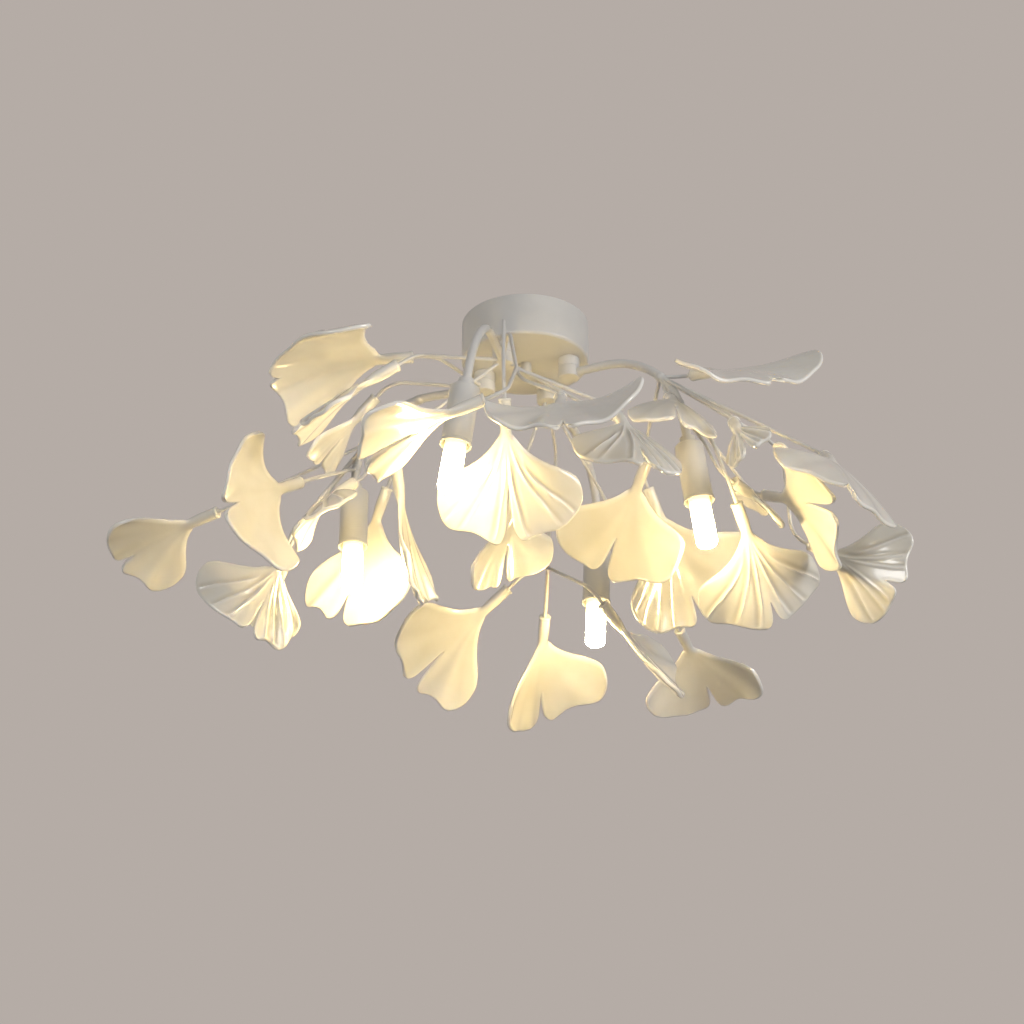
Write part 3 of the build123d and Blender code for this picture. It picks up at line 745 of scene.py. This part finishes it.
# Leaves: slip-cast ginkgo fans in white glaze. The outer side has raised veins that spread from the neck, the
# inner side is smooth, one deep notch parts the two lobes, and the neck is a round socket on the rod.
LEAF_WALL = 4.0
LEAF_RIM_R = 118.0
LEAF_CORNER_R = 84.0
CORNER_ROUND = 0.96
CORNER_POWER = 4
LEAF_HALF_WIDTH = 65.0
LEAF_RIPPLE = 2.5
RIPPLE_TURNS = 9.0
LEAF_WAVE = 2.5
WAVE_TURNS = 7.0
WAVE_PHASE = 1.0
WAVE_FADE = 3
FAN_CENTRE = 9.0
FAN_NECK = 0.25
ARCH_RUN = 100.0
SOCKET_R = 5.8
NECK_THIN_R = 5.4
COLLAR_L = 3.0
COLLAR_EDGE_R = 1.0
SOCKET_L = 20.0
SOCKET_END = 18.0
BORE_R = 1.9
BORE_DEPTH = 15.0
BORE_EDGE = 0.5
NECK_SHARE = 0.25
NOTCH_END = 132.0
NOTCH_HALF = 11.0
NOTCH_SLIT = 0.35
NOTCH_FLARE = 8
RIM_ROUND = 2.4
NOTCH_LIP_R = 7.0
NOTCH_LIP_FADE = 6
RIM_DIP = 3.0
DIP_TURNS = 12.0
RUFFLE = 1.3
RUFFLE_TURNS = 16.0
RUFFLE_FADE = 4
PHASE_RUN = 7.0
VEIN_PLACES = (0.16, 0.42, 0.69)
VEIN_STARTS = (0.3, 0.22, 0.36)
VEIN_WIDTH = 1.2
VEIN_RISE = 1.1
GROOVE_OFFSET = 3.2
GROOVE_WIDTH = 2.0
GROOVE_SINK = 0.7
VEIN_SHIFT = 0.06
VEIN_TURNS = 9.0
VEIN_GATHER = 0.4
VEIN_FADE_IN = 0.2
VEIN_FADE_OUT = 0.06
GROOVE_MARGIN = 6.0
# Painted light on the leaves, as shares along the glaze's tone ramp: the width of the painted highlight along
# free edges, the plain share, the painted shade taken off in grooves, and the socket's share.
RIM_HIGHLIGHT_WIDTH = 3.0
PLAIN_TONE = 0.45
GROOVE_PAINTED_SHADE = 0.35
SOCKET_TONE = 0.5
PLAIN_LEAVES = {"front": (5,), "right": (4, 6, 8)}
LEAF_ROWS = 66
LOBE_COLUMNS = 60
# Glaze tones: a grey painted as shade in the grooves beside the veins, a near white painted as highlight on
# vein tops and rims, and the plain white between.
GLAZE_PAINTED_SHADE = (0.58, 0.56, 0.50, 1)
GLAZE_WHITE = (0.74, 0.73, 0.69, 1)
GLAZE_PAINTED_HIGHLIGHT = (0.90, 0.89, 0.86, 1)
GLAZE_CLOUD = (0.94, 0.93, 0.90, 1)
GLAZE_CLEAR = (1, 1, 1, 1)
GLAZE_CELLS = 25.0
GLAZE_ROUGHNESS = (0.12, 0.22)
GLAZE_COAT = 0.6
GLAZE_COAT_ROUGHNESS = 0.05
GLAZE_GRAIN = (160.0, 0.00006)
SCATTER_SHARE = 0.2
SCATTER_TONE = (1.0, 0.90, 0.68)
SCATTER_DEPTH = 0.006


def white_glaze_painted_light():
    """Glossy white glaze: painted shade in the grooves beside the veins, painted highlights over veins and
    rims.
    """
    material, nodes, links, shader = new_material("white_glaze_painted_light")
    painted_light = nodes.new("ShaderNodeAttribute")
    painted_light.attribute_name = "shade"
    tone = nodes.new("ShaderNodeValToRGB")
    tone.color_ramp.elements[0].color = GLAZE_PAINTED_SHADE
    tone.color_ramp.elements[1].color = GLAZE_PAINTED_HIGHLIGHT
    middle = tone.color_ramp.elements.new(PLAIN_TONE)
    middle.color = GLAZE_WHITE
    links.new(painted_light.outputs["Fac"], tone.inputs["Fac"])
    cloud_colour, cloud = mottled(nodes, links, GLAZE_CELLS, GLAZE_CLOUD, GLAZE_CLEAR)
    blend = nodes.new("ShaderNodeMix")
    blend.data_type = "RGBA"
    blend.blend_type = "MULTIPLY"
    blend.inputs["Factor"].default_value = 1.0
    links.new(tone.outputs["Color"], blend.inputs["A"])
    links.new(cloud_colour, blend.inputs["B"])
    links.new(blend.outputs["Result"], shader.inputs["Base Color"])
    links.new(between(nodes, links, cloud, *GLAZE_ROUGHNESS), shader.inputs["Roughness"])
    shader.inputs["Coat Weight"].default_value = GLAZE_COAT
    shader.inputs["Coat Roughness"].default_value = GLAZE_COAT_ROUGHNESS
    shader.inputs["Subsurface Weight"].default_value = SCATTER_SHARE
    shader.inputs["Subsurface Radius"].default_value = SCATTER_TONE
    shader.inputs["Subsurface Scale"].default_value = SCATTER_DEPTH
    grained(nodes, links, shader, *GLAZE_GRAIN)
    return material


def eased(share):
    """A smooth step from 0 to 1: 3 s squared less 2 s cubed, held at both ends."""
    share = np.clip(share, 0, 1)
    return share * share * (3 - 2 * share)


def drawn_in(count):
    """So many shares from 0 to 1, closer together at both ends: half of 1 less the cosine of a half turn."""
    return 0.5 - 0.5 * np.cos(np.linspace(0, pi, count))


def vein_lines(along, across, width, phase):
    """How far each point is up a vein and down its groove, from 0 to 1: bells across lines that fan out."""
    vein = np.zeros_like(width)
    groove = np.zeros_like(width)
    for place, begin in zip(VEIN_PLACES, VEIN_STARTS):
        middle_line = place + VEIN_SHIFT * sin(phase + VEIN_TURNS * place)
        off = (across - middle_line * (1 - VEIN_GATHER * (1 - along) ** 2)) * width
        shown = eased((along - begin) / VEIN_FADE_IN) * eased((1 - along) / VEIN_FADE_OUT)
        vein = np.maximum(vein, shown * np.exp(-((off / VEIN_WIDTH) ** 2)))
        groove = np.maximum(groove, shown * np.exp(-(((off - GROOVE_OFFSET) / GROOVE_WIDTH) ** 2)))
    return vein, groove


def bent_sheet(side, forward, lift, wave, bend, arch):
    """Points at a lift off the middle surface, rolled across on 1 / bend and bent along past the socket."""
    arch_radius = ARCH_RUN / radians(arch)
    straight = np.minimum(forward, SOCKET_L)
    turn = (forward - straight) / arch_radius
    x = np.sin(bend * side) / bend + lift * np.sin(bend * side)
    height = (np.cos(bend * side) - 1) / bend + lift * np.cos(bend * side) + wave
    y = straight + (arch_radius + height) * np.sin(turn)
    z = (arch_radius + height) * np.cos(turn) - arch_radius
    return np.stack([x, y, z], axis=-1)


def lobe_nets(leaf, lobe, veined):
    """The veined and smooth sheets of one lobe, and each point's painted light: shade in the grooves,
    highlight on veins and rims.

    Rows run along the leaf and columns from the notch to the side. The fan's radius is LEAF_RIM_R less a drop
    toward its corner, a round drop at the notch's lip and shallow dips, and its half angle grows along it.
    The sheets stand half a wall off the middle surface, and less near a free edge, as a quarter circle, so
    that they meet there. The neck blends from a round socket into the fan. Each vein is a bell-shaped ridge
    beside a wider bell-shaped groove. The middle surface is ruffled, rolled across by the curl and bent along
    by the arch.
    """
    spread = radians(leaf.spread[0] if lobe < 0 else leaf.spread[1])
    bend = radians(leaf.curl[0] if lobe < 0 else leaf.curl[1]) / LEAF_HALF_WIDTH
    first = (SOCKET_END / leaf.size - FAN_CENTRE) / LEAF_RIM_R
    along = (first + (1 - first) * np.sin(np.linspace(0, pi / 2, LEAF_ROWS)))[:, None]
    across = drawn_in(LOBE_COLUMNS)[None, :]
    blend = eased((along - first) / NECK_SHARE)
    half_angle = spread * (FAN_NECK + (1 - FAN_NECK) * eased(along))
    middle = FAN_CENTRE + (LEAF_RIM_R + LEAF_RIPPLE * along) * along
    opened = np.clip((middle - leaf.notch) / (NOTCH_END - leaf.notch), 0, None)
    slit = NOTCH_HALF * (NOTCH_SLIT * opened + (1 - NOTCH_SLIT) * opened**NOTCH_FLARE)
    slit_angle = slit / (middle - FAN_CENTRE)
    angle = slit_angle + (half_angle - slit_angle) * across
    turned_share = lobe * angle / half_angle
    corner = np.sqrt(1 - CORNER_ROUND * turned_share**CORNER_POWER)
    rim = LEAF_CORNER_R + (LEAF_RIM_R - LEAF_CORNER_R) * corner
    phase = leaf.base[0] / PHASE_RUN
    lip = np.clip(1 - rim * (angle - slit_angle) * leaf.size / NOTCH_LIP_R, 0, 1)
    drop = NOTCH_LIP_R * (1 - np.sqrt(1 - lip**2)) / leaf.size
    drop = drop + RIM_DIP * (0.5 + 0.5 * np.sin(DIP_TURNS * turned_share + phase))
    ripple = LEAF_RIPPLE * np.cos(RIPPLE_TURNS * turned_share) * along
    reach = (rim + ripple) * along - drop * along**NOTCH_LIP_FADE
    width = reach * (half_angle - slit_angle) * leaf.size
    neck = NECK_THIN_R / leaf.size
    side = lobe * ((1 - blend) * neck * np.sin(across * pi / 2) + blend * reach * np.sin(angle))
    forward = (1 - blend) * (FAN_CENTRE + LEAF_RIM_R * along) + blend * (FAN_CENTRE + reach * np.cos(angle))
    to_slit = np.hypot(width * across, leaf.size * np.clip(leaf.notch - middle, 0, None))
    edge = np.minimum(np.minimum(width * (1 - across), leaf.size * LEAF_RIM_R * (1 - along)), to_slit)
    roundness = np.sqrt(1 - (1 - np.clip(edge / RIM_ROUND, 0, 1)) ** 2)
    half = (1 - blend) * neck * np.cos(across * pi / 2) + blend * LEAF_WALL / 2 / leaf.size * roundness
    vein, groove = veined * np.stack(vein_lines(along, across, width, phase))
    relief = VEIN_RISE * vein - GROOVE_SINK * groove * eased(edge / GROOVE_MARGIN)
    # Painted highlight along the free edges past the neck, and painted light that is lighter on veins and
    # darker in their grooves.
    rim_highlight = (1 - np.clip(edge / RIM_HIGHLIGHT_WIDTH, 0, 1)) * blend
    painted_light = np.clip(PLAIN_TONE + (1 - PLAIN_TONE) * vein - GROOVE_PAINTED_SHADE * groove, 0, 1)
    wave = LEAF_WAVE * np.sin(WAVE_TURNS * turned_share + WAVE_PHASE) * along**WAVE_FADE
    wave = wave + RUFFLE * np.sin(RUFFLE_TURNS * turned_share + phase) * along**RUFFLE_FADE
    lifts = (half + relief / leaf.size, -half)
    sheets = [leaf.size * bent_sheet(side, forward, lift, wave, bend, leaf.arch) for lift in lifts]
    # The smooth sheet carries only the painted highlight along its edges.
    return sheets, [np.maximum(painted_light, rim_highlight), PLAIN_TONE + (1 - PLAIN_TONE) * rim_highlight]


def socket_nets(lobe):
    """The socket's half turn on each sheet: bore, rounded mouth, collar and thin neck, as rows of a lobe."""
    profile = profile_of(
        (0, BORE_DEPTH),
        (BORE_R, BORE_DEPTH),
        (BORE_R, BORE_EDGE),
        (BORE_R + BORE_EDGE, 0),
        arc((SOCKET_R - COLLAR_EDGE_R, COLLAR_EDGE_R), COLLAR_EDGE_R, -90, 0),
        arc((SOCKET_R - COLLAR_EDGE_R, COLLAR_L - COLLAR_EDGE_R), COLLAR_EDGE_R, 0, 60),
        (NECK_THIN_R, COLLAR_L + COLLAR_EDGE_R),
        (NECK_THIN_R, (COLLAR_L + SOCKET_END) / 2),
    )
    across = drawn_in(LOBE_COLUMNS)
    radius = profile[:, 0, None]
    x = lobe * radius * np.sin(across * pi / 2)
    y = np.broadcast_to(profile[:, 1, None], x.shape)
    z = radius * np.cos(across * pi / 2)
    return [np.stack([x, y, z], axis=-1), np.stack([x, y, -z], axis=-1)]


def leaf_net(leaf, veined):
    """All four sheets of a leaf in its place, with their quads and the painted light of each point."""
    along = np.array(leaf.aim, float)
    along /= np.linalg.norm(along)
    toward = np.array(leaf.face, float)
    normal = toward - along * (toward @ along)
    normal /= np.linalg.norm(normal)
    place = np.stack([np.cross(along, normal), along, normal])
    points = []
    faces = []
    painted_light_values = []
    count = 0
    for lobe in (-1, 1):
        sheets, tones = lobe_nets(leaf, lobe, veined)
        for sheet, tone, socket in zip(sheets, tones, socket_nets(lobe)):
            net = np.concatenate([socket, sheet])
            points.append(np.array(leaf.base, float) + net.reshape(-1, 3) @ place)
            faces.append(net_faces(net.shape[0], net.shape[1], False, start=count))
            tone = np.broadcast_to(tone, sheet.shape[:2]).ravel()
            painted_light_values.append(np.full(socket.shape[0] * LOBE_COLUMNS, SOCKET_TONE))
            painted_light_values.append(tone)
            count += net.shape[0] * net.shape[1]
    return np.concatenate(points), np.concatenate(faces), np.concatenate(painted_light_values)


GLAZE = white_glaze_painted_light()
for name, leaves in LEAVES.items():
    for number, leaf in enumerate(leaves, start=1):
        veined = number not in PLAIN_LEAVES.get(name, ())
        points, faces, painted_light_values = leaf_net(leaf, veined)
        make_piece(
            f"{name}_ginkgo_{number}",
            points,
            faces,
            GLAZE,
            f"branch_{name}",
            f"leaf_{name}_{number}",
            shade=painted_light_values,
        )

# Room: a pale floor well below the light, a plain grey-brown surround, soft light from the right and front,
# and the camera below the light, looking up at it.
FLOOR_SIZE = 30.0
FLOOR_HEIGHT = -2.3
FLOOR_COLOUR = (0.62, 0.58, 0.55, 1)
FLOOR_ROUGHNESS = 0.8
SURROUND = (0.462, 0.413, 0.381, 1)
ROOM_LIGHT = (1.0, 0.97, 0.94, 1)
ROOM_STRENGTH = 0.20
LIGHT_AIM = (0, 0, -0.15)
WINDOW_PLACE = (2.5, -1.7, -0.05)
WINDOW_SIZE = 1.2
WINDOW_WATTS = 48.0
WINDOW_COLOUR = (1.0, 0.98, 0.96)
FRONT_PLACE = (-1.3, -2.7, -0.3)
FRONT_SIZE = 1.0
FRONT_WATTS = 26.0
FRONT_COLOUR = (1.0, 0.98, 0.95)
CAMERA_PLACE = (-0.0125, -2.1478, -1.2679)
CAMERA_PITCH = 26.5
FOCAL_PIXELS = 2620.0
IMAGE_PIXELS = 1024.0
SENSOR_MM = 36.0

floor_mesh = bpy.data.meshes.new("floor")
edge = FLOOR_SIZE / 2
corners = [(-edge, -edge), (edge, -edge), (edge, edge), (-edge, edge)]
floor_mesh.from_pydata([(x, y, FLOOR_HEIGHT) for x, y in corners], [], [(0, 1, 2, 3)])
floor = bpy.data.objects.new("floor", floor_mesh)
bpy.context.scene.collection.objects.link(floor)
floor_material, _, _, floor_shader = new_material("pale_floor")
floor_shader.inputs["Base Color"].default_value = FLOOR_COLOUR
floor_shader.inputs["Roughness"].default_value = FLOOR_ROUGHNESS
floor_mesh.materials.append(floor_material)

world = bpy.data.worlds.new("room")
bpy.context.scene.world = world
world.use_nodes = True
nodes = world.node_tree.nodes
links = world.node_tree.links
nodes.clear()
room = nodes.new("ShaderNodeBackground")
room.inputs["Color"].default_value = ROOM_LIGHT
room.inputs["Strength"].default_value = ROOM_STRENGTH
seen = nodes.new("ShaderNodeBackground")
seen.inputs["Color"].default_value = SURROUND
seen.inputs["Strength"].default_value = 1.0
path = nodes.new("ShaderNodeLightPath")
either = nodes.new("ShaderNodeMath")
either.operation = "MAXIMUM"
links.new(path.outputs["Is Camera Ray"], either.inputs[0])
links.new(path.outputs["Is Glossy Ray"], either.inputs[1])
any_seen = nodes.new("ShaderNodeMath")
any_seen.operation = "MAXIMUM"
links.new(either.outputs["Value"], any_seen.inputs[0])
links.new(path.outputs["Is Transmission Ray"], any_seen.inputs[1])
choice = nodes.new("ShaderNodeMixShader")
links.new(any_seen.outputs["Value"], choice.inputs["Fac"])
links.new(room.outputs["Background"], choice.inputs[1])
links.new(seen.outputs["Background"], choice.inputs[2])
output = nodes.new("ShaderNodeOutputWorld")
links.new(choice.outputs["Shader"], output.inputs["Surface"])


def soft_lamp(name, place, size, watts, colour):
    """A square soft box at a place, turned to face the light."""
    light = bpy.data.lights.new(name, "AREA")
    light.shape = "SQUARE"
    light.size = size
    light.energy = watts
    light.color = colour
    lamp = bpy.data.objects.new(name, light)
    bpy.context.scene.collection.objects.link(lamp)
    lamp.location = place
    way = np.array(LIGHT_AIM, float) - np.array(place, float)
    flat = np.hypot(way[0], way[1])
    lamp.rotation_euler = (pi / 2 + atan(way[2] / flat), 0, np.arctan2(-way[0], way[1]))


soft_lamp("window_light", WINDOW_PLACE, WINDOW_SIZE, WINDOW_WATTS, WINDOW_COLOUR)
soft_lamp("front_light", FRONT_PLACE, FRONT_SIZE, FRONT_WATTS, FRONT_COLOUR)

camera_data = bpy.data.cameras.new("camera")
camera_data.sensor_width = SENSOR_MM
camera_data.lens = FOCAL_PIXELS * SENSOR_MM / IMAGE_PIXELS
camera = bpy.data.objects.new("camera", camera_data)
camera.location = CAMERA_PLACE
camera.rotation_euler = (radians(90 + CAMERA_PITCH), 0, 0)
bpy.context.scene.collection.objects.link(camera)
bpy.context.scene.camera = camera
bpy.context.scene.view_settings.view_transform = "Standard"
